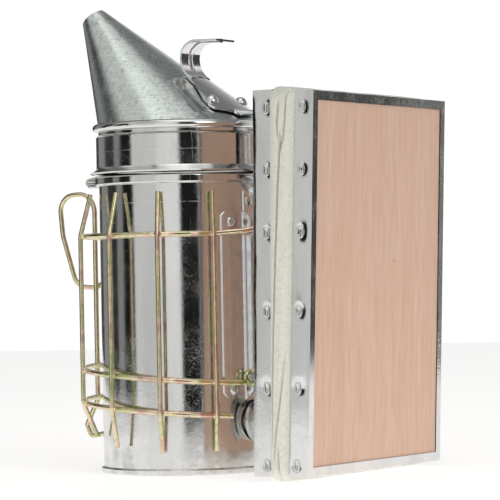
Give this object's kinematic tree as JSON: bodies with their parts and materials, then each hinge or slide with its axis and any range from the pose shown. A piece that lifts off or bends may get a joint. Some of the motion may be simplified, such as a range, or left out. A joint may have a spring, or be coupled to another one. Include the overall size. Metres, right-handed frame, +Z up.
{
  "type": "bee smoker",
  "caption": "Bee smoker with a sheet-metal fire pot, hinged oblique cone lid, wire heat guard with hanging hook, and a leather-sided wooden bellows.",
  "frame": {"origin": "centre of the fire pot's base, on the surface it stands on", "axes": "+Z up along the pot's axis, +X from the pot to the bellows, +Y completes the right-handed frame"},
  "size_m": [0.2325, 0.161, 0.2808],
  "materials": {
    "pot_tin": "polished",
    "cone_galvanised": "satin",
    "strap_steel": "polished",
    "wire_zinc": "satin",
    "fastener_steel": "satin",
    "edging_tin": "satin",
    "plywood": "matte",
    "suede": "matte"
  },
  "bodies": {
    "pot": {"fire_pot_shell": "pot_tin", "fire_pot_base": "pot_tin", "air_inlet_tube": "pot_tin", "hinge_lower_leaf": "strap_steel", "hinge_pin": "fastener_steel", "hinge_rivets": "fastener_steel", "guard_top_ring": "wire_zinc", "guard_middle_ring": "wire_zinc", "guard_bottom_ring": "wire_zinc", "guard_uprights": "wire_zinc", "hanging_hook": "wire_zinc", "clamp_bolts": "fastener_steel", "clamp_nuts": "fastener_steel", "bellows_bracket": "strap_steel", "bracket_rivets": "fastener_steel", "bracket_bolts": "fastener_steel", "bracket_nuts": "fastener_steel", "inner_board": "plywood", "inner_edging": "edging_tin", "inner_staples": "fastener_steel", "outlet_ferrule": "pot_tin", "leather_gusset": "suede", "bellows_spring": "fastener_steel"},
    "lid": {"lid_collar": "pot_tin", "lid_cone": "cone_galvanised", "strap_pad": "cone_galvanised", "finger_strap": "strap_steel", "strap_rivets": "fastener_steel", "front_lift_tab": "pot_tin"},
    "bellows_board": {"outer_board": "plywood", "outer_edging": "edging_tin", "outer_staples": "fastener_steel"},
    "grate": {"fire_grate": "fastener_steel"}
  },
  "joints": [
    {"name": "lid_hinge", "type": "hinge", "parent": "pot", "child": "lid", "pos_m": [0.0615, 0, 0.176], "axis": [0, 1, 0], "range_deg": [0, 65]},
    {"name": "bellows_squeeze", "type": "hinge", "parent": "pot", "child": "bellows_board", "pos_m": [0.1177, 0, 0.0035], "axis": [0, 1, 0], "range_deg": [-3.2, 0], "stiffness_Nm_per_rad": 40, "springref_deg": 1.72, "deforming": ["leather_gusset", "bellows_spring"]},
    {"name": "grate_lift", "type": "slide", "parent": "pot", "child": "grate", "axis": [0, 0, 1], "range_m": [0, 0.1]}
  ]
}
